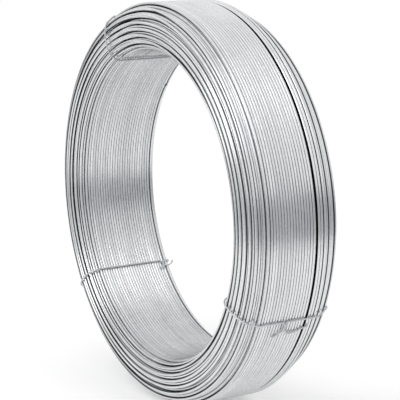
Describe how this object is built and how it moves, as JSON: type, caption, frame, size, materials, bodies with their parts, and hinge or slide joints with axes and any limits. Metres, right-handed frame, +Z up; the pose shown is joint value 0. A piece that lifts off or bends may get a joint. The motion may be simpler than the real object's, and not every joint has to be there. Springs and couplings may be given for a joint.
{
  "type": "coil of galvanized steel wire",
  "caption": "Thick ring-shaped coil of bright galvanized steel wire, wound in even layers round an open bore and held together by twisted tie wires.",
  "frame": {"origin": "on the floor under the middle of the coil, where its rim rests", "axes": "+Z up, the coil's axis level along Y with its front end towards -Y, +X to the right seen from the front end"},
  "size_m": [0.27, 0.067, 0.27],
  "materials": {
    "galvanized_wire": "drawn steel wire with a bright zinc coat",
    "tie_wire": "thin soft zinc-coated wire"
  },
  "bodies": {
    "root": {"wire_coil": "galvanized_wire", "tie_wire_a": "tie_wire", "tie_wire_b": "tie_wire", "tie_wire_c": "tie_wire"}
  },
  "joints": []
}
